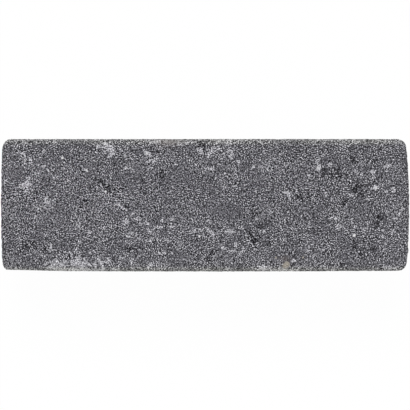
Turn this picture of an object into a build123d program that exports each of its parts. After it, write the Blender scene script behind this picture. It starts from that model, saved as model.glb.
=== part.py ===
"""Tumbled concrete paver: a strip-format block, pressed in one piece and then worn in a drum.

The block lies on its bed face, with the origin at the middle of that face. X runs along its
length and Y across it, and +Z points up to the wear face. All sizes are in millimetres.

A mould gives it straight, flat sides. The drum then rounds every arris, takes the corners
back further still, knocks shallow shell-shaped chips out of the arrises, and leaves long
shallow hollows in the wear face where lumps of sand came away.
"""

import os
from math import sqrt

from build123d import *

# Overall size of the block
length = 200.0
width = 65.0
height = 65.0

# The two end faces swell in plan: how far the middle of each stands out past its corners
left_end_swell = 0.7
right_end_swell = 1.6

# Radii of the four upright arrises, named as seen from above with the front nearest the viewer
front_left_radius = 3.6
front_right_radius = 4.2
back_left_radius = 4.4
back_right_radius = 5.0

# Radii of the arrises round the wear face and round the bed face
wear_radius = 2.4
bed_radius = 1.9

# How far the drum took the eight corners back from where the block's sharp corners would be
corner_wear = 2.9

# Chips in the arrises along the block: the two faces that meet there, the place along it as a
# share of the half length from the middle, the chip's length, and its depth in the worn arris
long_chips = [
    ("wear", "front", 0.35, 15.0, 0.8),
    ("wear", "front", -0.64, 24.0, 0.7),
    ("wear", "front", 0.79, 8.0, 0.6),
    ("wear", "back", -0.34, 5.0, 0.7),
    ("wear", "back", -0.17, 11.0, 0.8),
    ("wear", "back", 0.25, 6.0, 0.6),
    ("wear", "back", 0.80, 22.0, 0.7),
    ("bed", "front", -0.42, 17.0, 1.2),
    ("bed", "front", 0.10, 7.0, 0.8),
    ("bed", "front", 0.63, 25.0, 0.9),
    ("bed", "back", -0.71, 12.0, 1.0),
    ("bed", "back", 0.12, 28.0, 0.8),
    ("bed", "back", 0.55, 9.0, 1.3),
]

# Chips in the arrises across the ends, with the place as a share of the half width
end_chips = [
    ("wear", "left", -0.25, 8.0, 0.7),
    ("wear", "right", 0.38, 12.0, 0.8),
    ("bed", "left", 0.30, 14.0, 1.1),
    ("bed", "right", -0.35, 10.0, 1.2),
]

# Chips in the upright arrises, with the place as a share of the half height
upright_chips = [
    ("front", "left", -0.20, 13.0, 0.8),
    ("front", "right", 0.28, 9.0, 0.7),
    ("back", "left", 0.30, 10.0, 0.9),
    ("back", "right", -0.38, 17.0, 0.9),
]

# Hollows in the wear face: the middle's places along and across it as shares of its half
# sizes, the hollow's length and width, its turn in degrees and its depth
face_hollows = [
    (-0.49, 0.29, 12.0, 4.2, -42, 0.45),
    (-0.35, -0.67, 10.0, 3.6, 3, 0.40),
    (-0.02, 0.88, 7.0, 3.0, -37, 0.45),
    (0.23, -0.50, 9.0, 4.0, -52, 0.50),
    (0.64, 0.49, 11.0, 6.5, -5, 0.40),
    (0.75, 0.21, 8.5, 5.5, -55, 0.50),
    (0.85, -0.22, 8.0, 4.0, 75, 0.35),
]

outward_of = {
    "left": Vector(-1, 0, 0),
    "right": Vector(1, 0, 0),
    "front": Vector(0, -1, 0),
    "back": Vector(0, 1, 0),
    "bed": Vector(0, 0, -1),
    "wear": Vector(0, 0, 1),
}
swell_of = {"left": left_end_swell, "right": right_end_swell}
radius_of = {
    ("front", "left"): front_left_radius,
    ("front", "right"): front_right_radius,
    ("back", "left"): back_left_radius,
    ("back", "right"): back_right_radius,
    "wear": wear_radius,
    "bed": bed_radius,
}
block_centre = Vector(0, 0, height / 2)
half_size = Vector(length / 2, width / 2, height / 2)


def arc_radius(chord, depth):
    """Radius of the arc that is depth deep between two points chord apart."""
    return (chord**2 / 4 + depth**2) / (2 * depth)


def chip_ball(first, second, run, share, chord, depth):
    """Centre and radius of the ball that scoops a chip out of the arris of two faces.

    The arris follows the axis run. Where the ball crosses the worn, rounded arris it is chord
    long and depth deep, and its middle lies at share of the block's half size along run.
    """
    facing = outward_of[first] + outward_of[second]
    outward = facing.normalized()
    sharp = facing + run * share
    place = block_centre + Vector(
        sharp.X * half_size.X, sharp.Y * half_size.Y, sharp.Z * half_size.Z
    )
    # An end's swell falls away from its middle, and an upright arris has all of it
    offset_from_middle = 1 if run.Z else share
    place -= outward_of[second] * swell_of.get(second, 0) * offset_from_middle**2
    arris_radius = radius_of.get((first, second)) or radius_of[first]
    worn_back = (sqrt(2) - 1) * arris_radius
    ball_radius = arc_radius(chord, depth)
    return place + outward * (ball_radius - depth - worn_back), ball_radius


with BuildPart() as paver:
    # The plan: straight sides, swelling ends, and each corner worn to its own radius
    with BuildSketch() as plan:
        with BuildLine():
            left, right = -length / 2, length / 2
            front, back = -width / 2, width / 2
            front_side = Line(
                (left + left_end_swell, front), (right - right_end_swell, front)
            )
            right_end = ThreePointArc(
                front_side @ 1, (right, 0), (right - right_end_swell, back)
            )
            back_side = Line(right_end @ 1, (left + left_end_swell, back))
            ThreePointArc(back_side @ 1, (left, 0), front_side @ 0)
        make_face()
        # Each fillet makes the outline anew, so each corner is picked from the latest one
        for end, side, radius in (
            (left, front, front_left_radius),
            (right, front, front_right_radius),
            (left, back, back_left_radius),
            (right, back, back_right_radius),
        ):
            corner = plan.vertices().sort_by_distance((end, side))[0]
            fillet(corner, radius=radius)
    extrude(amount=height)

    # The arrises round the two large faces
    fillet(paver.faces().sort_by(Axis.Z)[-1].edges(), radius=wear_radius)
    fillet(paver.faces().sort_by(Axis.Z)[0].edges(), radius=bed_radius)

    # The drum wears the corners most: a ball about the block's centre reaches only them
    with Locations(block_centre):
        Sphere(half_size.length - corner_wear, mode=Mode.INTERSECT)

    for run, chips in (
        (Vector(1, 0, 0), long_chips),
        (Vector(0, 1, 0), end_chips),
        (Vector(0, 0, 1), upright_chips),
    ):
        for first, second, share, chord, depth in chips:
            ball_centre, ball_radius = chip_ball(first, second, run, share, chord, depth)
            with Locations(ball_centre):
                Sphere(ball_radius, mode=Mode.SUBTRACT)

    # Each hollow is scooped by the rim of a ring that stands upright over the face
    for along, across, long, wide, turn, depth in face_hollows:
        lengthwise_radius = arc_radius(long, depth)
        crosswise_radius = arc_radius(wide, depth)
        ring_centre = (
            along * half_size.X, across * half_size.Y, height + lengthwise_radius - depth
        )
        with Locations(Location(ring_centre, (0, 0, turn))):
            Torus(
                lengthwise_radius - crosswise_radius,
                crosswise_radius,
                rotation=(90, 0, 0),
                mode=Mode.SUBTRACT,
            )

paver.part.label = "paver"

os.makedirs("parts", exist_ok=True)
export_step(paver.part, "parts/paver.step")
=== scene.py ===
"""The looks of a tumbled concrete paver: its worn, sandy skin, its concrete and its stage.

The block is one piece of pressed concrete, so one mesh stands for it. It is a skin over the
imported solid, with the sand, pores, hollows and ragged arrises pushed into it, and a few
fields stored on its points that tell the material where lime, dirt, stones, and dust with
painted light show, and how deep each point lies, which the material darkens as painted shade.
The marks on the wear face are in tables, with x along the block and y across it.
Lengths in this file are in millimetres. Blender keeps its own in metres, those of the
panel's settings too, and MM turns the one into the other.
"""

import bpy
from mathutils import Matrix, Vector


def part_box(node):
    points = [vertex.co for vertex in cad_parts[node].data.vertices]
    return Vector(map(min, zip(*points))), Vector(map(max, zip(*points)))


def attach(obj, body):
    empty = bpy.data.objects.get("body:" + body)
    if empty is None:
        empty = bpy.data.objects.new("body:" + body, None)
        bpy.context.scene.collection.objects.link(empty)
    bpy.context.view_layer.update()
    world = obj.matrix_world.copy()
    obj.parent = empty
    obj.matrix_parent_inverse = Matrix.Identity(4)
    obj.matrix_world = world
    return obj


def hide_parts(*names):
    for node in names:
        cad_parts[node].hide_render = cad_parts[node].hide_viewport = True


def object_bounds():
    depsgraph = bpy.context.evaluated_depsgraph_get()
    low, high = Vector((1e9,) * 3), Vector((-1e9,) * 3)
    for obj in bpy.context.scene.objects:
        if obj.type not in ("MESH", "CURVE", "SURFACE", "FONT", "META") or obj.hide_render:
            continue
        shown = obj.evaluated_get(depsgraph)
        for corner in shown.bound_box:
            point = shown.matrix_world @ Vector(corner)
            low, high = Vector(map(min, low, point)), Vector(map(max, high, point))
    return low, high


bl_info = {
    "name": "Tumbled Concrete Paver",
    "version": (1, 0, 0),
    "blender": (4, 5, 0),
    "location": "3D View > Sidebar > Paver",
    "description": "Makes the worn skin of one tumbled concrete paver, and the stage it lies on",
    "category": "Add Mesh",
}

from math import cos, radians, sin

import bpy
import numpy as np
from bpy.props import FloatProperty, FloatVectorProperty, IntProperty, PointerProperty
from mathutils import Vector, noise

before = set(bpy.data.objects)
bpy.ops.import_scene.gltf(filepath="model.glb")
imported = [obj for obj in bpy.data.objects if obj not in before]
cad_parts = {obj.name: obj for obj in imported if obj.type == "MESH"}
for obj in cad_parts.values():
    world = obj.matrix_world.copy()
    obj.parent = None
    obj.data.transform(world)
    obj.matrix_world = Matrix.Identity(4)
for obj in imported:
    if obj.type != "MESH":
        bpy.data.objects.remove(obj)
CAD_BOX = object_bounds()

NODE = "paver"
BODY = "root"
PIECE = "worn_block"

# A millimetre in metres, and the block's box in millimetres
MM = 0.001
LOW, HIGH = (np.array(corner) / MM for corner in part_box(NODE))

# Light places on the wear face, where lime has bloomed or pale grains crowd together: the
# middle, the half length, the half width, the turn in degrees and the strength
PALE_PLACES = (
    (-48.0, 28.0, 3.0, 1.9, -30, 1.05),
    (-45.6, 25.8, 2.6, 1.6, -20, 1.0),
    (-46.2, 24.0, 1.4, 0.5, 50, 0.8),
    (-52.2, 28.6, 1.5, 0.9, 60, 0.9),
    (-53.4, 25.8, 0.9, 0.6, 60, 0.6),
    (-87.4, 9.8, 1.9, 1.0, 10, 2.0),
    (-86.6, 12.4, 1.8, 1.0, 40, 0.8),
    (-87.4, 7.4, 1.5, 1.1, 60, 0.5),
    (-77.8, 3.2, 1.6, 0.8, 80, 1.2),
    (-76.4, 1.2, 1.4, 0.5, -60, 1.1),
    (-73.0, 3.2, 0.8, 0.6, 0, 0.8),
    (-97.5, 11.5, 2.0, 1.3, 60, 0.6),
    (-88.6, 26.0, 1.4, 0.5, 35, 1.0),
    (-88.0, 23.4, 1.5, 0.6, -70, 0.75),
    (-84.8, 20.8, 1.8, 0.5, -80, 0.7),
    (-79.2, 19.2, 1.6, 0.8, 10, 0.8),
    (-76.4, 17.0, 1.8, 0.5, -60, 0.8),
    (-83.6, 14.6, 2.6, 1.6, -50, 0.5),
    (-66.6, 11.8, 1.4, 0.5, -35, 0.5),
    (-69.2, 18.2, 1.8, 0.5, 30, 0.6),
    (-58.0, 17.4, 0.9, 0.6, -55, 0.6),
    (-38.8, 18.6, 1.8, 0.5, 50, 0.7),
    (-36.6, 18.2, 1.9, 0.6, -45, 0.8),
    (-39.0, 24.2, 1.5, 0.5, -75, 0.9),
    (-36.4, 23.2, 0.9, 0.6, 0, 0.7),
    (-49.9, 7.2, 1.6, 0.4, -36, 1.05),
    (-83.4, -0.2, 2.0, 0.45, -30, 0.9),
    (-85.8, 1.6, 1.3, 0.6, -60, 0.8),
    (-46.8, 2.0, 1.5, 0.9, 40, 0.5),
    (-43.4, 0.2, 1.3, 0.4, 40, 0.9),
    (-41.0, -0.8, 2.4, 0.45, -50, 1.1),
    (-35.2, -3.9, 1.3, 0.45, 55, 1.1),
    (-33.4, -6.6, 1.8, 0.7, 10, 0.9),
    (-38.8, -7.8, 1.7, 0.9, 80, 0.9),
    (-31.4, -9.0, 1.8, 0.5, 5, 1.0),
    (-28.0, -9.3, 1.5, 0.4, -50, 1.0),
    (-25.4, -8.2, 0.8, 0.5, 40, 0.9),
    (-27.0, -12.8, 1.3, 0.5, -55, 0.8),
    (-20.9, -7.0, 0.9, 0.6, 60, 1.0),
    (-37.2, -15.2, 1.7, 0.6, -5, 0.9),
    (-37.3, -17.0, 1.0, 0.4, 80, 0.4),
    (-36.2, -13.4, 1.4, 0.5, 10, 0.8),
    (-32.8, -15.2, 1.5, 0.4, -65, 0.5),
    (-25.4, -17.2, 2.6, 0.9, 10, 0.8),
    (-23.0, -10.9, 2.0, 0.5, 20, 0.9),
    (-23.8, -13.6, 1.3, 0.6, -40, 0.5),
    (-15.4, -10.6, 1.8, 0.4, 0, 0.7),
    (-16.4, -8.4, 1.4, 0.7, 80, 0.6),
    (-62.5, -9.5, 1.8, 1.0, 0, 0.4),
    (-57.5, -13.0, 2.0, 1.1, 40, 0.3),
    (-63.1, -21.2, 1.8, 0.4, 58, 1.0),
    (-66.8, -23.2, 1.2, 0.4, 70, 0.7),
    (-65.6, -23.8, 1.1, 0.4, -40, 0.7),
    (-77.9, -14.4, 0.9, 0.5, 80, 1.1),
    (-75.8, -20.6, 1.6, 0.8, 80, 0.7),
    (-77.6, -28.4, 2.0, 0.8, 20, 0.5),
    (-72.4, -27.4, 2.0, 0.6, -60, 0.8),
    (-69.8, -28.6, 1.6, 0.6, 60, 0.9),
    (-75.4, -29.4, 2.0, 0.8, 30, 0.6),
    (-65.8, -30.2, 1.6, 0.8, 0, 0.6),
    (-62.4, -28.0, 2.2, 1.2, 70, 0.8),
    (-60.2, -29.4, 2.6, 1.2, -30, 0.8),
    (-57.2, -28.2, 2.0, 0.6, -50, 1.0),
    (-54.0, -29.0, 1.4, 0.9, 60, 0.7),
    (-52.2, -26.4, 0.9, 0.6, 30, 1.0),
    (-50.8, -29.0, 1.7, 0.7, -60, 1.0),
    (-48.4, -27.2, 1.8, 0.5, 40, 0.8),
    (-46.4, -26.4, 1.5, 0.45, -50, 0.8),
    (-44.0, -30.8, 1.8, 0.6, 0, 0.5),
    (-40.4, -26.0, 0.8, 0.5, 30, 0.5),
    (-53.8, -22.8, 0.7, 0.6, 0, 1.0),
    (-36.2, -27.6, 2.8, 0.6, 88, 0.8),
    (-26.2, -28.6, 1.6, 0.9, 60, 0.9),
    (-21.8, -23.4, 1.6, 0.5, 10, 1.1),
    (-28.2, 25.0, 1.2, 0.5, -32, 1.5),
    (-24.2, 22.8, 2.2, 0.5, 50, 0.5),
    (-28.4, 21.4, 1.8, 0.6, 25, 0.7),
    (-11.2, 30.4, 2.4, 0.7, 12, 0.8),
    (-2.9, 26.6, 2.1, 1.1, -35, 0.9),
    (2.8, 25.8, 1.6, 0.5, 50, 0.9),
    (3.9, 27.8, 1.6, 0.6, 55, 0.9),
    (6.2, 28.2, 1.5, 0.6, 75, 0.7),
    (2.0, 17.4, 1.8, 1.5, 20, 0.6),
    (12.8, 25.3, 1.8, 0.7, 80, 0.8),
    (10.9, 26.6, 1.3, 0.5, 60, 0.8),
    (11.6, 20.9, 1.3, 0.6, 0, 0.6),
    (16.6, 21.2, 1.6, 0.9, 20, 0.7),
    (23.0, 19.0, 0.9, 0.5, 0, 0.7),
    (27.6, 19.2, 1.5, 0.7, -50, 0.6),
    (32.4, 19.2, 2.2, 1.4, 0, 0.25),
    (-5.4, -12.4, 1.9, 0.7, -10, 0.5),
    (-2.2, -12.2, 1.4, 0.6, 0, 0.55),
    (1.6, -12.0, 1.4, 0.6, -50, 1.1),
    (3.6, -14.0, 1.8, 0.6, -35, 1.1),
    (4.2, -17.0, 1.5, 0.5, 80, 0.6),
    (12.1, -12.8, 1.7, 0.8, -3, 1.0),
    (18.0, -11.0, 1.6, 1.1, 10, 0.8),
    (20.7, -15.0, 1.5, 0.4, -80, 0.8),
    (15.5, -19.2, 1.1, 0.7, 0, 0.9),
    (8.3, -19.0, 0.9, 0.6, 80, 0.8),
    (8.0, -22.0, 1.8, 1.0, 60, 0.6),
    (12.9, -22.4, 1.4, 0.5, 10, 0.7),
    (18.1, -22.8, 1.5, 0.55, 70, 1.1),
    (28.5, -12.7, 1.3, 0.7, -75, 1.0),
    (11.0, -31.0, 1.3, 0.8, 90, 0.9),
    (1.6, -31.6, 1.8, 0.6, 0, 0.9),
    (39.8, 6.3, 1.7, 0.6, 15, 1.0),
    (41.2, 3.6, 1.7, 0.45, -80, 0.9),
    (44.6, 8.0, 0.8, 0.5, 70, 0.8),
    (37.8, -18.8, 1.5, 0.7, 70, 0.5),
    (50.0, -20.5, 1.6, 1.1, 40, 0.6),
    # These two strips on the front arris are partly lime and partly painted light, strong enough to
    # lift the arris that the lamp leaves in shade
    (28.2, -30.9, 3.6, 1.3, 0, 1.3),
    (38.0, -31.8, 5.4, 0.9, 0, 1.4),
    (42.8, -27.4, 1.4, 0.6, 0, 0.8),
    (90.0, -30.6, 3.0, 1.0, 0, 0.8),
    (-23.5, 31.2, 4.0, 0.8, 0, 0.9),
    (10.5, 31.0, 5.0, 1.0, 0, 0.9),
    (71.0, 31.2, 2.2, 0.8, 0, 0.3),
    (55.8, 18.6, 1.7, 0.6, 85, 1.4),
    (55.0, 21.8, 1.6, 0.8, 60, 0.6),
    (50.7, 14.4, 0.9, 0.6, 70, 1.0),
    (53.0, 18.0, 1.3, 0.5, 0, 0.6),
    (57.4, 19.2, 0.8, 0.5, 60, 0.8),
    (60.6, 20.0, 1.4, 0.7, 55, 0.6),
    (59.0, 5.6, 1.2, 0.5, 50, 1.1),
    (61.6, 3.6, 1.0, 0.5, 50, 0.7),
    (70.6, 5.4, 2.0, 0.6, -22, 0.9),
    (73.3, 16.6, 1.3, 0.6, -60, 0.8),
    (76.2, 14.8, 0.9, 0.6, 0, 0.7),
    (82.2, 16.5, 2.1, 0.5, 22, 1.2),
    (81.6, 14.2, 1.7, 0.8, 60, 0.65),
    (89.2, 19.2, 2.2, 1.2, 15, 0.7),
    (83.2, 8.5, 1.0, 0.9, 0, 1.4),
    (92.2, 8.4, 1.8, 0.8, 80, 0.9),
    (67.5, -4.4, 0.9, 0.8, 0, 0.6),
    (63.8, -6.6, 1.2, 0.6, 80, 0.9),
    (61.4, -6.2, 1.0, 0.8, 0, 0.6),
    (64.9, -10.4, 2.0, 0.8, 5, 1.2),
    (71.4, -6.6, 1.1, 0.9, 0, 0.7),
    (77.6, -13.4, 0.9, 0.7, 70, 0.9),
    (77.8, -11.2, 1.2, 0.4, 20, 0.6),
    (92.4, -6.4, 1.6, 0.5, 10, 1.2),
    (95.2, -3.2, 2.3, 0.45, 65, 1.2),
    (92.3, -12.8, 0.9, 0.6, 0, 0.7),
    (79.4, -25.2, 1.1, 0.5, -50, 0.7),
    (62.6, -31.4, 2.2, 0.5, 0, 1.0),
)

# Wider zones where more lime or pale sand shows than elsewhere
PALE_ZONES = (
    (-83.0, 19.8, 7.0, 2.4, -32, 0.32),
    (-46.8, -2.8, 1.8, 1.8, 0, 0.24),
    (-60.0, -12.0, 8.0, 4.0, -20, 0.26),
    (-71.0, -6.4, 4.0, 4.0, 0, 0.14),
    (-36.5, -9.0, 4.2, 2.6, 0, 0.15),
    (-16.5, 2.5, 3.6, 3.2, 0, 0.18),
    (-12.0, 9.0, 3.2, 2.6, 0, 0.16),
    (-46.5, -11.0, 3.6, 4.0, 0, 0.14),
    (-89.0, -31.4, 10.0, 0.9, 0, 0.75),
    (-30.5, -14.6, 8.5, 3.4, 0, 0.15),
    (-62.0, -27.0, 14.0, 3.2, 2, 0.32),
    (-62.0, -31.4, 15.0, 1.0, 0, 1.00),
    (-48.5, -27.6, 3.6, 2.8, 0, 0.18),
    (-26.0, 22.8, 4.0, 3.2, 0, 0.25),
    (-1.5, -12.6, 8.0, 2.8, -10, 0.22),
    (13.0, -17.0, 6.0, 6.0, 0, 0.15),
    (13.0, -26.4, 2.6, 4.0, 0, 0.28),
    (-16.0, -24.4, 3.0, 3.0, 0, 0.25),
    (10.4, 24.6, 7.0, 3.8, 10, 0.28),
    (30.0, 19.4, 3.6, 3.6, 0, 0.12),
    (37.6, -10.6, 3.6, 3.0, 0, 0.24),
    (48.0, -0.4, 3.6, 2.8, 30, 0.20),
    (46.0, -22.4, 8.0, 2.0, 0, 0.36),
    (88.2, -17.8, 2.6, 3.2, 0, 0.48),
    (86.8, 7.2, 4.4, 3.0, 0, 0.24),
    (90.0, -13.0, 3.0, 3.4, 0, 0.28),
    (77.4, -10.4, 2.6, 2.4, 0, 0.12),
    (51.5, -18.5, 3.0, 3.0, 0, 0.22),
    (17.0, 8.0, 3.0, 3.0, 0, 0.18),
    (3.0, 3.0, 5.0, 4.0, 0, 0.12),
    (59.0, 25.0, 4.0, 2.6, 0, 0.22),
    (94.6, 22.4, 1.6, 1.6, 0, 0.34),
    (72.2, 29.6, 2.2, 1.4, 0, 0.36),
    (77.6, 3.4, 2.0, 1.8, 0, 0.34),
    (35.0, -21.6, 2.0, 2.6, 0, 0.24),
    (66.4, 29.6, 2.4, 1.4, 0, 0.28),
    (-18.4, -17.4, 2.2, 1.4, 0, 0.26),
    (14.0, 29.4, 4.0, 1.2, 0, 0.15),
    (12.0, 20.6, 2.4, 1.8, 0, 0.24),
)

# Dark places on the wear face, which are shallow hollows with dirt in them
DARK_PLACES = (
    (-1.2, 29.4, 2.2, 0.9, -15, 1.1),
    (-54.8, 13.8, 2.2, 1.2, -50, 0.5),
    (-50.6, 10.8, 3.4, 1.0, -40, 0.9),
    (-44.2, 7.6, 2.4, 1.7, 0, 0.6),
    (-25.4, 7.0, 2.0, 1.5, 0, 0.4),
    (-79.4, -2.2, 2.4, 1.8, 0, 0.3),
    (-47.4, 8.0, 2.8, 1.1, -40, 1.0),
    (-58.0, 1.8, 1.8, 0.9, -40, 1.0),
    (-38.8, -0.5, 1.6, 0.8, -40, 1.0),
    (-31.0, 14.4, 4.0, 2.4, 10, 0.4),
    (-21.0, 15.6, 2.6, 1.6, 80, 0.8),
    (-23.4, 7.8, 1.0, 0.7, 50, 0.9),
    (-31.5, 8.2, 0.9, 0.7, 0, 0.9),
    (5.3, 16.4, 0.9, 0.7, 0, 1.0),
    (47.8, -5.5, 1.8, 0.5, 3, 1.0),
    (34.2, -4.5, 1.4, 0.5, 5, 0.8),
    (28.0, -19.7, 1.8, 0.5, 6, 1.1),
    (31.6, -19.4, 1.8, 0.7, -70, 0.8),
    (60.4, 21.2, 1.0, 0.6, 50, 0.9),
    (71.2, 26.8, 2.0, 0.6, 10, 0.6),
    (71.8, 7.8, 0.9, 0.7, 0, 1.0),
    (74.8, 5.6, 1.2, 0.9, 0, 1.4),
    (97.6, 1.0, 1.2, 0.8, 0, 0.6),
    (73.0, -21.6, 0.9, 0.6, 0, 1.1),
    (-29.0, -3.6, 3.4, 2.0, -25, 0.4),
    (-24.2, -7.6, 1.6, 0.9, -60, 0.4),
    (-19.2, -10.6, 1.5, 0.8, -20, 0.6),
    (-85.0, -18.6, 5.0, 4.4, 40, 0.3),
    (-87.0, -20.6, 3.6, 2.4, 70, 0.5),
    (-78.0, -21.4, 2.2, 0.7, -55, 1.1),
    (-81.0, -26.4, 1.2, 0.8, 0, 0.8),
    (-66.0, -24.9, 1.2, 0.5, 10, 0.9),
    (-48.6, -17.8, 1.3, 0.9, 60, 0.8),
    (-14.4, -7.8, 1.2, 0.6, 80, 0.9),
    (-44.8, -26.0, 1.1, 0.6, 60, 0.8),
    (-23.6, -2.4, 1.2, 0.7, 60, 0.8),
    (-36.4, -21.8, 3.0, 1.2, 0, 0.65),
    (-31.6, -30.6, 3.0, 0.9, 0, 0.6),
    (-30.0, -21.0, 2.8, 0.7, 5, 0.6),
    (3.4, -23.6, 1.8, 1.3, 55, 1.0),
    (2.4, -26.2, 2.4, 1.4, 30, 1.0),
    (12.6, 9.8, 3.0, 1.5, 0, 0.8),
    (23.6, 30.8, 3.0, 1.0, 0, 0.7),
    (-14.6, -26.6, 1.5, 0.9, 70, 0.3),
    (21.2, -13.2, 1.4, 1.0, -60, 0.6),
    (23.8, -17.2, 3.2, 2.0, -60, 0.9),
    (27.0, -9.4, 1.4, 1.0, 20, 0.8),
    (24.8, -4.6, 2.4, 1.6, 0, 0.6),
    (46.2, 3.4, 2.6, 1.4, -60, 1.0),
    (50.2, -5.6, 2.4, 1.0, -30, 0.3),
    (42.8, -24.6, 2.6, 1.0, -35, 1.0),
    (39.6, -26.4, 1.7, 0.6, -10, 0.9),
    (43.4, -29.0, 1.0, 0.7, 45, 0.8),
    (58.2, 15.8, 2.2, 1.6, 60, 0.9),
    (65.0, 15.4, 4.8, 2.8, -5, 0.3),
    (72.4, 22.4, 2.0, 1.1, -50, 1.2),
    (72.8, 8.4, 2.0, 1.4, -30, 0.7),
    (74.2, 6.4, 2.2, 1.6, -60, 0.9),
    (75.6, 10.0, 2.2, 1.8, 30, 0.5),
    (79.0, 8.0, 1.2, 0.8, 0, 0.3),
    (82.0, 21.8, 2.6, 1.0, 20, 0.7),
    (85.2, -7.2, 2.6, 1.2, 80, 0.9),
    (72.8, -19.6, 2.4, 0.8, 88, 1.0),
    (76.6, -24.0, 3.6, 2.0, -20, 0.35),
    (82.0, -21.6, 1.9, 1.3, 0, 0.6),
    (79.8, -15.8, 1.6, 1.1, 30, 0.6),
    (25.0, -18.8, 1.6, 1.0, 0, 0.8),
    (68.0, 1.0, 1.9, 1.3, 40, 0.7),
    (68.0, -28.9, 2.0, 0.7, 0, 0.7),
)

# Wider zones that are dirtier than elsewhere
DARK_ZONES = (
    (-87.0, -17.0, 5.0, 7.0, -20, 0.25),
    (-61.4, 18.0, 4.4, 6.0, 0, 0.46),
    (-95.6, -0.4, 2.6, 7.0, 0, 0.28),
    (0.8, -8.2, 2.0, 1.6, 0, 0.40),
    (-69.5, 9.8, 3.5, 2.5, 0, 0.36),
    (-55.0, 9.0, 7.0, 3.0, -10, 0.36),
    (-28.0, 7.0, 5.0, 4.0, 0, 0.12),
    (27.0, -13.0, 5.5, 7.0, 20, 0.22),
    (30.0, -4.4, 6.0, 4.4, 0, 0.20),
    (53.2, 5.2, 3.2, 3.0, 0, 0.55),
    (65.0, 15.0, 7.0, 4.0, -10, 0.25),
    (84.0, 22.6, 6.0, 2.6, 0, 0.25),
    (53.0, -14.8, 5.0, 2.4, 0, 0.25),
    (92.4, 0.0, 2.8, 1.2, 0, 0.45),
    (-42.0, 4.2, 3.2, 1.8, 0, 0.28),
    (-82.0, 16.0, 1.6, 1.2, 0, 0.35),
    (-73.0, 14.0, 2.0, 1.3, 0, 0.40),
    (-68.4, 10.6, 2.2, 1.6, 0, 0.35),
    (-74.0, 31.8, 2.6, 1.2, 0, 0.40),
    (-37.0, 31.4, 2.8, 1.4, 0, 0.36),
    (-5.6, 31.8, 2.4, 1.0, 0, 0.50),
    (-94.0, 31.4, 2.4, 1.2, 0, 0.40),
    (77.0, -22.5, 8.0, 5.0, 0, 0.18),
    (83.6, -9.6, 3.2, 5.0, 0, 0.44),
    (38.0, 23.0, 2.7, 4.5, 0, 0.44),
    (33.4, 15.0, 2.6, 2.2, 0, 0.36),
    (47.4, 24.4, 3.0, 2.4, 0, 0.62),
    (75.6, -16.6, 3.4, 2.0, 0, 0.50),
    (67.0, -2.4, 3.0, 1.8, -40, 0.25),
    (-3.0, -7.2, 5.0, 2.0, 0, 0.36),
    (-54.5, -29.6, 2.4, 1.2, 0, 0.30),
    (-67.4, -27.2, 2.2, 1.0, 0, 0.40),
    (-43.0, -25.6, 2.2, 2.2, 0, 0.32),
)

# Stones that the drum has bared: the middle, the radius and the kind
QUARTZ_GRAINS = (
    (72.8, -14.7, 0.88),
    (-2.8, -15.1, 0.65),
    (-28.4, 25.5, 0.80),
    (-69.7, 23.2, 0.75),
    (-27.8, -30.4, 0.70),
    (83.5, 8.6, 0.75),
    (24.2, -21.2, 0.45),
    (-48.6, 6.8, 0.60),
    (55.0, 18.2, 0.70),
    (-58.0, 17.2, 0.65),
)
FLINT_PEBBLES = (
    (39.4, -29.2, 1.9),
    (34.6, -25.6, 0.5),
    (47.8, -25.4, 0.55),
)
# Where iron in the sand has turned it rosy: on the back arris, and by the flint
RUSTY_PLACES = (
    (-18.2, 31.0, 4.6, 2.0, 0, 0.9),
    (39.2, -26.2, 2.2, 1.2, 0, 0.9),
)

# Where each noise starts, so that no two of the patterns agree
SEED = {
    "bend_x": 14.9,
    "bend_y": 57.7,
    "dust_and_painted_light": 52.3,
    "sand": 3.1,
    "fine_sand": 9.4,
    "lumps": 17.3,
    "small_lumps": 41.9,
    "pits": 27.7,
    "torn": 63.1,
    "crumbled": 12.7,
    "lime": 71.3,
    "lime_crumbs": 25.1,
    "dirt": 33.9,
    "dirt_crumbs": 85.1,
}


def linear(hex_colour):
    """The linear colour, with full alpha, of an sRGB hex value such as "6d6c71"."""
    shares = [int(hex_colour[i : i + 2], 16) / 255 for i in (0, 2, 4)]
    return [s / 12.92 if s <= 0.04045 else ((s + 0.055) / 1.055) ** 2.4 for s in shares] + [1.0]


def length_property(name, description, default_mm):
    """A length that shows in the panel in the scene's own unit."""
    return FloatProperty(
        name=name, description=description, default=default_mm * MM, min=0, unit="LENGTH",
        precision=5,
    )


def colour_property(name, description, hex_colour):
    """A colour that shows as a swatch, given as sRGB hex."""
    return FloatVectorProperty(
        name=name, description=description, default=linear(hex_colour), size=4, min=0, max=1,
        subtype="COLOR",
    )


class PaverSkin(bpy.types.PropertyGroup):
    """Sizes of the relief that is pushed into the block's skin."""

    voxel: length_property("Skin mesh", "Spacing of the skin's points before it is thinned", 0.5)
    sand: length_property("Coarse sand", "Spacing of the grains that stand out as relief", 2.2)
    sand_height: length_property("Sand height", "How far a coarse grain stands out", 0.42)
    lump: length_property("Lumps", "Spacing of the low lumps in the pressed surface", 7.0)
    lump_height: length_property("Lump height", "Height of the lumps", 0.16)
    pit: length_property("Pit spacing", "Typical distance between open pits", 7.5)
    pit_depth: length_property("Pit depth", "Depth of the open pits", 0.55)
    flat_top: length_property("Flat tops", "How much of the tallest grains is pressed flat", 0.17)
    ragged: length_property("Ragged arris", "How far the arrises are broken back", 0.6)
    hollow: length_property("Hollow depth", "Depth of the dark hollows", 0.12)
    triangles: IntProperty(name="Triangles", description="Triangles left in the skin", default=197000)


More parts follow.
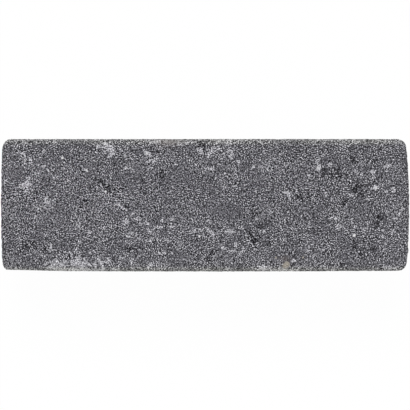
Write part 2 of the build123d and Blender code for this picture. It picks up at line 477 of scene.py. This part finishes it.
class PaverConcrete(bpy.types.PropertyGroup):
    """Grain size and colours of the concrete."""

    grit: length_property("Grit", "Spacing of the sand grains that show as colour", 0.94)
    # The darkest tone: painted shade deep in the pores and recesses
    deep: colour_property("Pores", "Colour deep in the pores", "121215")
    dark: colour_property("Dark paste", "Colour of the cement between the grains", "444348")
    body: colour_property("Concrete", "Colour of the face at middle tone", "6e6d73")
    pale: colour_property("Pale sand", "Colour of the paler sand grains", "a09fa7")
    bright: colour_property("Brightest sand", "Colour of the brightest grains", "eae9ef")
    dust_and_painted_light: colour_property("Arris dust", "Colour of the stone dust on the worn arrises", "7a7a79")
    lime: colour_property("Lime", "Colour of the lime bloom", "aaa8ae")
    quartz: colour_property("Quartz", "Colour of the bared quartz grains", "eeedf0")
    flint: colour_property("Flint", "Colour of the bared flint pebbles", "c4bcaf")
    rust: colour_property("Iron", "Colour where iron has stained the sand", "8f8582")


class PaverStage(bpy.types.PropertyGroup):
    """Light, floor and camera."""

    floor: colour_property("Floor", "Colour of the floor", "f4f3f1")
    sky: FloatProperty(name="Sky", description="Strength of the even light", default=0.5, min=0)
    key: FloatProperty(
        name="Key", description="Strength of the soft lamp, as a share of white", default=0.6, min=0
    )
    reach: FloatProperty(
        name="Camera height", description="Height of the camera above the wear face", default=1.2,
        min=0.1, unit="LENGTH",
    )


def spread(points, size, seed):
    """Smooth noise from -1 to 1 at each point, with bumps about size apart."""
    scaled = points / size + seed
    return np.array([noise.noise(p) for p in scaled.tolist()])


def nearest(points, size, seed):
    """Distance from each point to the nearest of scattered centres, as a share of size.

    The centres lie about size apart.
    """
    scaled = points / size + seed
    return np.array([noise.voronoi(p)[0][0] for p in scaled.tolist()])


def ramp(values, start, end):
    """0 before start, 1 after end, and a smooth step between."""
    share = np.clip((values - start) / (end - start), 0, 1)
    return share * share * (3 - 2 * share)


def dome(away):
    """The height of a grain at a distance from its middle: 1 there, and 0 from its rim on.

    The distance and the rim are shares of the spacing of the grains.
    """
    rim = 0.75
    return 1 - np.minimum(away / rim, 1) ** 2


def bent(points):
    """The points' x and y, bent by up to half a millimetre, so that no oval looks drawn."""
    bend, bend_size = 0.6, 2.4
    return [
        points[:, axis] + bend * spread(points, bend_size, SEED[name])
        for axis, name in enumerate(("bend_x", "bend_y"))
    ]


def patches(bent_points, places):
    """The strongest of the oval places at each bent point.

    Each place has its own strength in its middle and fades smoothly outwards.
    """
    bent_x, bent_y = bent_points
    fading = 0.65
    field = np.zeros(len(bent_x))
    for x, y, half_length, half_width, turn, strength in places:
        c, s = cos(radians(turn)), sin(radians(turn))
        along = ((bent_x - x) * c + (bent_y - y) * s) / half_length
        across = ((bent_y - y) * c - (bent_x - x) * s) / half_width
        field = np.maximum(field, strength * np.exp(-fading * (along**2 + across**2)))
    return field


def discs(points, stones):
    """How far inside a round stone each point lies, from 1 at a middle through 0 at its rim."""
    field = np.full(len(points), -1.0)
    for x, y, radius in stones:
        away = np.hypot(points[:, 0] - x, points[:, 1] - y) / radius
        field = np.maximum(field, 1 - away)
    return field


def blotches(points, name, size, crumb_size, start):
    """Scattered ragged patches from 0 to 1, for the faces that the photograph doesn't show.

    The noise under them covers more or less of the face as start is lower or higher.
    """
    crumb_share, full = 0.6, 0.9
    crumbs = spread(points, crumb_size, SEED[name + "_crumbs"])
    return ramp(spread(points, size, SEED[name]) + crumb_share * crumbs, start, full)


def wall_distances(points):
    """Distances of each point from the nearer wall of the block's box on each axis, sorted."""
    return np.sort(np.minimum(points - LOW, HIGH - points), axis=1)


def arris_share(points):
    """1 on the worn arrises and corners, fading to 0 on the flat faces 4 mm from them."""
    full, none = 1.2, 3.8
    second_nearest = wall_distances(points)[:, 1]
    return 1 - ramp(second_nearest, full, none)


def wear_face_share(points):
    """1 on the wear face, fading to 0 down the sides."""
    full, none = 1.6, 4.0
    return ramp(points[:, 2], HIGH[2] - none, HIGH[2] - full)


def sound_arris(points):
    """1 along the stretch of the back arris that is less broken than the rest."""
    middle, reach = -70.0, 18.0
    x, y = points[:, 0], points[:, 1]
    back = ramp(y, 20.0, 28.0)
    return back * np.exp(-(((x - middle) / reach) ** 2))


def dust_and_painted_light_share(points):
    """Stone dust and painted light on the worn arrises, most of it along the two long ones of the
    wear face. The front one gets the most, as painted light on the arris that the lamp leaves in
    shade.
    """
    from_front = points[:, 1] - LOW[1]
    from_back = HIGH[1] - points[:, 1]
    under_face = HIGH[2] - points[:, 2]

    # Each band is whole up to its first distance from the wall, and gone past its second
    # The front band is the strongest: partly dust, partly painted light on the arris that the lamp
    # leaves in shade
    front = 1 - ramp(from_front, 1.0, 3.4)
    behind_front = 0.12 * (1 - ramp(from_front, 3.0, 7.0))
    back = 0.8 * (1 - ramp(from_back, 1.4, 3.8))
    upper = 1 - ramp(under_face, 4.0, 12.0)
    along = (front + behind_front + back) * upper
    others = 0.6 * arris_share(points) * (1 - wear_face_share(points))

    patch_size, usual, more_or_less = 14.0, 0.75, 0.5
    patchy = usual + more_or_less * spread(points, patch_size, SEED["dust_and_painted_light"])
    return np.clip(patchy * np.maximum(along, others), 0, 1)


def relief_depth(points, skin):
    """How far in from the solid's surface each point of the skin lies, in millimetres."""
    arris = arris_share(points)
    wear = wear_face_share(points)
    bent_points = bent(points)

    # Coarse sand with finer sand between, each with its share of the height
    coarse_share, fine_share, fine_size = 0.45, 0.55, 0.55
    sand_size = skin.sand / MM
    grains = dome(nearest(points, sand_size, SEED["sand"]))
    fine_grains = dome(nearest(points, fine_size * sand_size, SEED["fine_sand"]))
    sand = coarse_share * grains + fine_share * fine_grains

    # Low lumps with smaller ones on them
    small_height, small_size = 0.6, 0.4
    lumps = spread(points, skin.lump / MM, SEED["lumps"])
    lumps += small_height * spread(points, small_size * skin.lump / MM, SEED["small_lumps"])

    # A pit is open round a centre, up to a share of the pits' spacing
    pit_rim, pit_floor = 0.17, 0.08
    pits = ramp(-nearest(points, skin.pit / MM, SEED["pits"]), -pit_rim, -pit_floor)

    # The arrises are broken back in some stretches, with crumbly rims, and less in the sound one
    stretch, crumb, crumb_share = 5.5, 2.2, 0.5
    less = 0.8
    torn = spread(points, stretch, SEED["torn"])
    torn += crumb_share * spread(points, crumb, SEED["crumbled"])
    torn = ramp(torn, 0.0, 0.8) * (1 - less * sound_arris(points))

    depth = skin.sand_height * (1 - sand)
    depth += skin.lump_height * (0.5 - 0.5 * lumps)
    depth += skin.pit_depth * pits
    depth += skin.ragged * arris * torn

    # Dirt lies in hollows, and lime stands up by a share of their depth
    lime_share = 0.4
    depth += wear * skin.hollow * patches(bent_points, DARK_PLACES)
    depth -= wear * lime_share * skin.hollow * patches(bent_points, PALE_PLACES)
    return np.maximum(depth - skin.flat_top, 0) / MM


def side_sway(points):
    """How far the front side leans in from its straight line, most at its left end."""
    in_all_along, in_at_ends, in_at_left_end = 0.05, 0.4, 0.45
    x, y = points[:, 0], points[:, 1]
    share = x / HIGH[0]
    front = ramp(-y, 20.0, -LOW[1] - 2.0)
    left_end = ramp(-x, 68.0, 96.0)
    return front * (in_all_along + in_at_ends * share**2 + in_at_left_end * left_end)


def end_bump(points):
    """How far a small lump stands out on the right end, low in the photograph."""
    middle, reach, height = -22.4, 1.2, 0.45
    x, y = points[:, 0], points[:, 1]
    right = ramp(x, 92.0, 98.0)
    return right * height * np.exp(-(((y - middle) / reach) ** 2))


def apply_modifiers(piece):
    """Replaces the piece's mesh with what its modifiers make of it."""
    evaluated = piece.evaluated_get(bpy.context.evaluated_depsgraph_get())
    made = bpy.data.meshes.new_from_object(evaluated)
    piece.modifiers.clear()
    old = piece.data
    piece.data = made
    bpy.data.meshes.remove(old)


def mesh_points(mesh):
    """The points of a mesh, in millimetres."""
    points = np.empty(len(mesh.vertices) * 3)
    mesh.vertices.foreach_get("co", points)
    return points.reshape(-1, 3) / MM


def mesh_normals(mesh):
    """The unit normals at the points of a mesh."""
    normals = np.empty(len(mesh.vertices) * 3)
    mesh.vertex_normals.foreach_get("vector", normals)
    return normals.reshape(-1, 3)


def place_points(mesh, points):
    """Puts the points of a mesh at places in millimetres, held inside the block's box.

    Returns where they are now.
    """
    held = np.clip(points, LOW, HIGH)
    mesh.vertices.foreach_set("co", (held * MM).astype(np.float32).ravel())
    return held


def store(mesh, name, values):
    """Keeps one number or one vector per point on the mesh, for the material to read."""
    kind, key = ("FLOAT", "value") if values.ndim == 1 else ("FLOAT_VECTOR", "vector")
    attribute = mesh.attributes.new(name, kind, "POINT")
    attribute.data.foreach_set(key, values.astype(np.float32).ravel())


def add_node(tree, kind, inputs=None, **settings):
    """Adds a node, sets its properties, and gives each input a value or a link."""
    node = tree.nodes.new(kind)
    for name, value in settings.items():
        setattr(node, name, value)
    for key, value in (inputs or {}).items():
        if isinstance(value, bpy.types.NodeSocket):
            tree.links.new(value, node.inputs[key])
        else:
            node.inputs[key].default_value = value
    return node


# Socket numbers of a Mix node that mixes colours
FACTOR, FIRST, SECOND, MIXED = 0, 6, 7, 2


def soft_patterns(tree, place):
    """Soft noise by what it stands for in the concrete, with sizes in millimetres.

    The real fines are under 0.2 mm, too fine to show in a picture of the whole block, so they
    are drawn at 0.5 mm, as coarse as they need to be to show.
    """
    sizes = {"fines": 0.5, "grit": 0.7, "crumbs": 1.6, "clumps": 2.4, "rough": 9.0}
    return {
        name: add_node(
            tree, "ShaderNodeTexNoise", {"Vector": place, "Scale": 1 / size, "Detail": 0.0}
        ).outputs["Fac"]
        for name, size in sizes.items()
    }


def sand_grains(tree, place, spacing):
    """The grey of each sand grain, and its face: 1 on the grain and 0 in the gap round it, which the
    material darkens as dark paste and painted shade between the grains.

    The grains are squeezed out of round, and turned so that their rows don't follow the block.
    """
    squeeze, squeeze_size = 0.5, 1.4
    turn = radians(33)
    gap_width = 0.21
    turned = add_node(
        tree, "ShaderNodeVectorRotate", {"Vector": place, "Angle": turn}, rotation_type="Z_AXIS"
    ).outputs[0]
    squeezing = add_node(
        tree, "ShaderNodeTexNoise", {"Vector": place, "Scale": 1 / squeeze_size, "Detail": 0.0}
    ).outputs["Color"]
    squeezed = add_node(
        tree, "ShaderNodeVectorMath", {0: squeezing, 1: (squeeze,) * 3, 2: turned},
        operation="MULTIPLY_ADD",
    ).outputs[0]
    grains = {"Vector": squeezed, "Scale": 1 / spacing, "Randomness": 1.0}
    colour = add_node(tree, "ShaderNodeTexVoronoi", grains).outputs["Color"]
    grey = add_node(tree, "ShaderNodeSeparateColor", {0: colour}).outputs[0]
    gap = add_node(
        tree, "ShaderNodeTexVoronoi", grains, feature="DISTANCE_TO_EDGE"
    ).outputs["Distance"]
    face = add_node(
        tree, "ShaderNodeMapRange", {"Value": gap, "From Max": gap_width},
        interpolation_type="SMOOTHSTEP",
    ).outputs[0]
    return grey, face


def lump_ridges(tree, place):
    """1 on the rims of bent lumps about 5 mm across, which stand up as thin ridges."""
    lump_size = 5.0
    bend, bend_size = 4.0, 2.6
    outer_rim, inner_rim = 0.1, 0.02
    bending = add_node(
        tree, "ShaderNodeTexNoise", {"Vector": place, "Scale": 1 / bend_size, "Detail": 1.0}
    ).outputs["Color"]
    bent_place = add_node(
        tree, "ShaderNodeVectorMath", {0: bending, 1: (bend,) * 3, 2: place},
        operation="MULTIPLY_ADD",
    ).outputs[0]
    rim = add_node(
        tree, "ShaderNodeTexVoronoi",
        {"Vector": bent_place, "Scale": 1 / lump_size, "Randomness": 1.0},
        feature="DISTANCE_TO_EDGE",
    ).outputs["Distance"]
    return add_node(
        tree, "ShaderNodeMapRange", {"Value": rim, "From Min": outer_rim, "From Max": inner_rim},
        interpolation_type="SMOOTHSTEP",
    ).outputs[0]


def layered(tree, start, layers):
    """The start value plus each layer times its amount."""
    total = start
    for layer, amount in layers:
        total = add_node(
            tree, "ShaderNodeMath", {0: layer, 1: amount, 2: total}, operation="MULTIPLY_ADD"
        ).outputs[0]
    return total


def pressed_concrete(concrete):
    """Pressed concrete with dark pigment, worn in a drum: matt and sandy to the eye.

    Each sand grain shows in its own grey with a dark gap round it, partly dark paste and partly
    painted shade between the grains. The face has pores painted dark as shade, deeper points
    painted darker as shade in the recesses, dirt in its hollows, and lime bloom in ragged islands
    that begin on its ridges. Pale stone dust lies on the arrises, with painted light along the
    long ones. A few quartz grains and flint pebbles are bared, and iron has stained the sand in two
    places.
    """
    material = bpy.data.materials.new("pressed_concrete_tumbled")
    material.use_nodes = True
    tree = material.node_tree
    tree.nodes.clear()

    # The place on the smooth solid in millimetres, so that every pattern has its real size and
    # the faces cut straight through the sand
    place = add_node(tree, "ShaderNodeAttribute", attribute_name="smooth_place").outputs["Vector"]
    field = {
        name: add_node(tree, "ShaderNodeAttribute", attribute_name=name).outputs["Fac"]
        for name in ("bloom", "dirt", "dust_and_painted_light", "hollow", "rust", "quartz", "flint")
    }
    pattern = soft_patterns(tree, place)
    grain_grey, grain_face = sand_grains(tree, place, concrete.grit / MM)
    ridge = lump_ridges(tree, place)

    # One grain in five is pale, and here and there the pale ones crowd together. A few flecks
    # are bright, and a few pores are painted black as the shade deep in them. Each starts at one
    # value and is full at the other.
    pale_grain, clump, fleck, pore_shade = (
        add_node(
            tree, "ShaderNodeMapRange", {"Value": value, "From Min": start, "From Max": end},
            interpolation_type="SMOOTHSTEP",
        ).outputs[0]
        for value, start, end in (
            (grain_grey, 0.6, 1.0),
            (pattern["clumps"], 0.56, 0.80),
            (pattern["grit"], 0.64, 0.78),
            (pattern["grit"], 0.42, 0.27),
        )
    )

    # The texture of the sand and paste, with painted shade in the gaps between the grains and in the
    # pores: each layer has its average and its amount, which it adds where it is above that average
    layers = (
        (grain_grey, 0.5, 0.04),
        (pale_grain, 0.2, 0.06),
        (clump, 0.12, 0.02),
        (grain_face, 0.57, 0.40),
        (pattern["fines"], 0.5, 2.1),
        (pattern["grit"], 0.5, 0.42),
        (fleck, 0.04, 0.15),
        # Pores painted dark, as the shade deep in them
        (pore_shade, 0.13, -0.40),
    )
    average = sum(usual * amount for layer, usual, amount in layers)
    sand = layered(tree, -average, [(layer, amount) for layer, usual, amount in layers])

    # Some places are busier than others
    busy = add_node(
        tree, "ShaderNodeMapRange",
        {
            "Value": pattern["rough"], "From Min": 0.3, "From Max": 0.7,
            "To Min": 0.8, "To Max": 1.22,
        },
    ).outputs[0]

    # Lime clings to the ridges and the high crumbs first, and dirt to the low ones, so each
    # covers more of a place the stronger it is there, in ragged islands
    raggedness = 1.9
    ragged = layered(tree, pattern["crumbs"], [(pattern["grit"], 0.6)])
    crust = layered(tree, -2.04, [(ragged, raggedness), (ridge, 0.38)])
    stain = layered(tree, 1.04, [(ragged, -raggedness)])
    bloom, dirt = (
        add_node(
            tree, "ShaderNodeMapRange",
            {
                "Value": layered(tree, ground, [(field[name], 1.5)]),
                "From Min": 0.22, "From Max": 0.56,
            },
            interpolation_type="SMOOTHSTEP",
        ).outputs[0]
        for name, ground in (("bloom", crust), ("dirt", stain))
    )

    # Where lime lies, its grains stand out brighter over the dark gaps
    lively = layered(tree, busy, [(bloom, 0.35)])

    # The tone runs from 0, deep in a pore, to 1, the brightest grain
    bare_tone = 0.415
    tone = add_node(
        tree, "ShaderNodeMath", {0: sand, 1: lively, 2: bare_tone}, operation="MULTIPLY_ADD"
    ).outputs[0]
    # Lime lightens and dirt darkens. Dust and painted light lift the arrises, and deeper points are
    # darkened by their depth as painted shade in the recesses.
    tone = layered(
        tree,
        tone,
        [
            (bloom, 0.48),
            (field["bloom"], 0.04),
            (dirt, -0.27),
            (field["dust_and_painted_light"], 0.19),
            (field["hollow"], -0.08),
        ],
    )

    tones = add_node(tree, "ShaderNodeValToRGB", {0: tone})
    # The darkest stop is painted shade, deep in the pores and the recesses
    stops = (
        (0.0, concrete.deep),
        (0.25, concrete.dark),
        (0.5, concrete.body),
        (0.75, concrete.pale),
        (1.0, concrete.bright),
    )
    elements = tones.color_ramp.elements
    elements[0].position, elements[0].color = stops[0]
    elements[1].position, elements[1].color = stops[-1]
    for position, colour in stops[1:-1]:
        elements.new(position).color = colour

    # Dust takes the blue out of the grey
    colour = add_node(
        tree, "ShaderNodeMix",
        {FACTOR: field["dust_and_painted_light"], FIRST: tones.outputs[0], SECOND: concrete.dust_and_painted_light},
        data_type="RGBA", blend_type="COLOR",
    ).outputs[MIXED]

    # What lies over the sand, from the bottom up: the value that each follows, where that
    # starts and is full, and how much it covers at most
    pebble = layered(tree, field["flint"], [(pattern["crumbs"], 0.8)])
    for value, start, end, most, over in (
        (bloom, 0.0, 1.0, 0.08, concrete.lime),
        (field["rust"], 0.0, 1.0, 0.4, concrete.rust),
        (pebble, 0.25, 0.65, 0.8, concrete.flint),
        (field["quartz"], -0.1, 0.25, 1.0, concrete.quartz),
    ):
        share = add_node(
            tree, "ShaderNodeMapRange",
            {"Value": value, "From Min": start, "From Max": end, "To Max": most},
        ).outputs[0]
        colour = add_node(
            tree, "ShaderNodeMix", {FACTOR: share, FIRST: colour, SECOND: over}, data_type="RGBA"
        ).outputs[MIXED]

    # The grains and the speckle too fine for the mesh stand out as bump
    bump_height = 0.45 * MM
    height = layered(tree, pattern["fines"], [(grain_face, 0.9)])
    bump = add_node(
        tree, "ShaderNodeBump", {"Strength": 1.0, "Distance": bump_height, "Height": height}
    ).outputs[0]

    # Dry concrete is matt: quartz sand and cement both have an IOR near 1.5, and the open
    # pores swallow most of the sheen
    shader = add_node(
        tree,
        "ShaderNodeBsdfPrincipled",
        {
            "Base Color": colour,
            "Roughness": 0.92,
            "IOR": 1.5,
            "Specular IOR Level": 0.2,
            "Normal": bump,
        },
    )
    add_node(tree, "ShaderNodeOutputMaterial", {"Surface": shader.outputs[0]})
    return material


def seen_directly(tree):
    """1 for rays from the camera, and for those that a glossy or clear surface sends on."""
    path = add_node(tree, "ShaderNodeLightPath").outputs
    seen = path["Is Camera Ray"]
    for other in ("Is Glossy Ray", "Is Transmission Ray"):
        inputs = {0: seen, 1: path[other]}
        seen = add_node(tree, "ShaderNodeMath", inputs, operation="MAXIMUM").outputs[0]
    return seen


def studio_floor(stage):
    """Matt white painted board: almost white to the camera, with the object's soft shadow."""
    whiteness = 0.98
    material = bpy.data.materials.new("matt_painted_board")
    material.use_nodes = True
    tree = material.node_tree
    tree.nodes.clear()
    paint = add_node(
        tree, "ShaderNodeBsdfPrincipled", {"Base Color": stage.floor, "Roughness": 0.9, "IOR": 1.5}
    ).outputs[0]
    white = add_node(
        tree, "ShaderNodeEmission", {"Color": (1, 1, 1, 1), "Strength": 1.0}
    ).outputs[0]
    shown = seen_directly(tree)
    share = add_node(
        tree, "ShaderNodeMath", {0: shown, 1: whiteness}, operation="MULTIPLY"
    ).outputs[0]
    surface = add_node(tree, "ShaderNodeMixShader", {0: share, 1: paint, 2: white}).outputs[0]
    add_node(tree, "ShaderNodeOutputMaterial", {"Surface": surface})
    return material


def studio_world(stage):
    """Even light from all round, behind a background that is plain white to the camera."""
    world = bpy.data.worlds.new("studio")
    world.use_nodes = True
    tree = world.node_tree
    tree.nodes.clear()
    even, white = (
        add_node(
            tree, "ShaderNodeBackground", {"Color": (1, 1, 1, 1), "Strength": strength}
        ).outputs[0]
        for strength in (stage.sky, 1.0)
    )
    inputs = {0: seen_directly(tree), 1: even, 2: white}
    both = add_node(tree, "ShaderNodeMixShader", inputs).outputs[0]
    add_node(tree, "ShaderNodeOutputWorld", {"Surface": both})
    return world


class PAVER_OT_block(bpy.types.Operator):
    """Make the worn block: a fine skin over the solid, with its relief and its concrete"""

    bl_idname = "paver.block"
    bl_label = "Worn Block"

    def execute(self, context):
        skin = context.scene.paver_skin
        block = bpy.data.objects.new(PIECE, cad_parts[NODE].data.copy())
        context.scene.collection.objects.link(block)
        block.data.materials.clear()

        coarser = 1
        remesh = block.modifiers.new("skin", "REMESH")
        remesh.mode = "VOXEL"
        remesh.voxel_size = skin.voxel * coarser
        apply_modifiers(block)
        mesh = block.data

        points, normals = mesh_points(mesh), mesh_normals(mesh)
        depth = relief_depth(points, skin)
        depth += side_sway(points) * np.maximum(-normals[:, 1], 0)
        depth -= end_bump(points) * np.maximum(normals[:, 0], 0)
        place_points(mesh, points - normals * depth[:, None])
        store(mesh, "smooth_place", points)
        # Each point's depth, which the material darkens as painted shade in the recesses
        store(mesh, "hollow", depth)

        # Keep every point of the wear face and its arrises, and thin the rest. Each face of the
        # skin has four corners so far, and is worth two triangles.
        kept_down_to = HIGH[2] - 4.0
        below = np.flatnonzero(points[:, 2] < kept_down_to)
        thinned = block.vertex_groups.new(name="thinned")
        thinned.add(below.tolist(), 1.0, "REPLACE")
        thin = block.modifiers.new("thin", "DECIMATE")
        triangles_now = 2 * len(mesh.polygons)
        thin.ratio = min(1.0, skin.triangles / triangles_now)
        thin.vertex_group = thinned.name
        thin.use_collapse_triangulate = True
        apply_modifiers(block)
        mesh = block.data
        block.vertex_groups.clear()

        # Thinning pushes a few points slightly out of the block's box
        points = place_points(mesh, mesh_points(mesh))

        # The wear face has its own marks, and the other faces have scattered, weaker ones
        wear = wear_face_share(points)
        elsewhere = 1 - wear
        lime_strength, dirt_strength = 0.5, 0.6
        bent_points = bent(points)
        limed = patches(bent_points, PALE_PLACES) + patches(bent_points, PALE_ZONES)
        dirtied = patches(bent_points, DARK_PLACES) + patches(bent_points, DARK_ZONES)
        scattered_lime = blotches(points, "lime", size=16.0, crumb_size=4.0, start=0.35)
        scattered_dirt = blotches(points, "dirt", size=18.0, crumb_size=5.0, start=0.4)
        store(mesh, "bloom", wear * limed + elsewhere * lime_strength * scattered_lime)
        store(mesh, "dirt", wear * dirtied + elsewhere * dirt_strength * scattered_dirt)
        # Dust on the arrises, and painted light along the long ones of the wear face
        store(mesh, "dust_and_painted_light", dust_and_painted_light_share(points))
        store(mesh, "rust", wear * patches(bent_points, RUSTY_PLACES))
        store(mesh, "quartz", np.where(wear > 0, discs(points, QUARTZ_GRAINS), -1))
        store(mesh, "flint", np.where(wear > 0, discs(points, FLINT_PEBBLES), -1))
        mesh.shade_smooth()
        mesh.materials.append(pressed_concrete(context.scene.paver_concrete))
        print("worn block:", len(mesh.polygons), "triangles")

        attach(block, BODY)
        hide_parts(NODE)
        return {"FINISHED"}


class PAVER_OT_stage(bpy.types.Operator):
    """Make the floor, the even light, the soft lamp and the camera straight above the block"""

    bl_idname = "paver.stage"
    bl_label = "Stage"

    def execute(self, context):
        scene = context.scene
        stage = scene.paver_stage
        scene.view_settings.view_transform = "Standard"
        scene.world = studio_world(stage)

        # The floor reaches well past the block on every side
        half = 4000.0 * MM
        corners = [(-half, -half, 0), (half, -half, 0), (half, half, 0), (-half, half, 0)]
        floor_mesh = bpy.data.meshes.new("floor")
        floor_mesh.from_pydata(corners, [], [(0, 1, 2, 3)])
        floor_mesh.materials.append(studio_floor(stage))
        floor = bpy.data.objects.new("floor", floor_mesh)
        floor.location.z = CAD_BOX[0].z
        scene.collection.objects.link(floor)

        # The lamp stands high behind the block, a little to the left, and is as soft as a wide
        # window. On level ground it gives its share of white, however low it stands.
        direction = Vector((-0.05, 0.42, 0.75)).normalized()
        softness = radians(25)
        lamp = bpy.data.lights.new("soft_key", "SUN")
        lamp.energy = stage.key * np.pi / direction.z
        lamp.angle = softness
        key = bpy.data.objects.new("soft_key", lamp)
        key.rotation_mode = "QUATERNION"
        key.rotation_quaternion = direction.to_track_quat("Z", "Y")
        key.location = direction
        scene.collection.objects.link(key)

        # The camera looks straight down, with the block's long side across the picture, and is
        # moved a little so that the block lies where the photograph has it
        view_width = 200.25 * MM
        off_x, off_y = -0.05 * MM, 0.15 * MM
        farthest_seen = 20000.0 * MM
        camera_data = bpy.data.cameras.new("camera")
        camera_data.lens = camera_data.sensor_width * stage.reach / view_width
        camera_data.clip_end = farthest_seen
        camera = bpy.data.objects.new("camera", camera_data)
        camera.location = (off_x, off_y, CAD_BOX[1].z + stage.reach)
        scene.collection.objects.link(camera)
        scene.camera = camera
        return {"FINISHED"}


class PAVER_PT_panel(bpy.types.Panel):
    """Lists the paver's pieces and their settings"""

    bl_idname = "PAVER_PT_panel"
    bl_label = "Tumbled Paver"
    bl_space_type = "VIEW_3D"
    bl_region_type = "UI"
    bl_category = "Paver"

    def draw(self, context):
        for name, operator in (
            ("paver_skin", PAVER_OT_block),
            ("paver_concrete", None),
            ("paver_stage", PAVER_OT_stage),
        ):
            group = getattr(context.scene, name)
            box = self.layout.box()
            for setting in group.bl_rna.properties:
                if setting.identifier not in {"rna_type", "name"}:
                    box.prop(group, setting.identifier)
            if operator:
                box.operator(operator.bl_idname)


GROUPS = {"paver_skin": PaverSkin, "paver_concrete": PaverConcrete, "paver_stage": PaverStage}
CLASSES = (*GROUPS.values(), PAVER_OT_block, PAVER_OT_stage, PAVER_PT_panel)


def register():
    """Adds the paver's settings, operators and panel to Blender."""
    for cls in CLASSES:
        bpy.utils.register_class(cls)
    for name, group in GROUPS.items():
        setattr(bpy.types.Scene, name, PointerProperty(type=group))


def unregister():
    """Takes them out again, the other way round."""
    for name in GROUPS:
        delattr(bpy.types.Scene, name)
    for cls in reversed(CLASSES):
        bpy.utils.unregister_class(cls)


def main():
    """Makes the block and the stage."""
    register()
    bpy.ops.paver.block()
    bpy.ops.paver.stage()


if __name__ == "__main__":
    main()
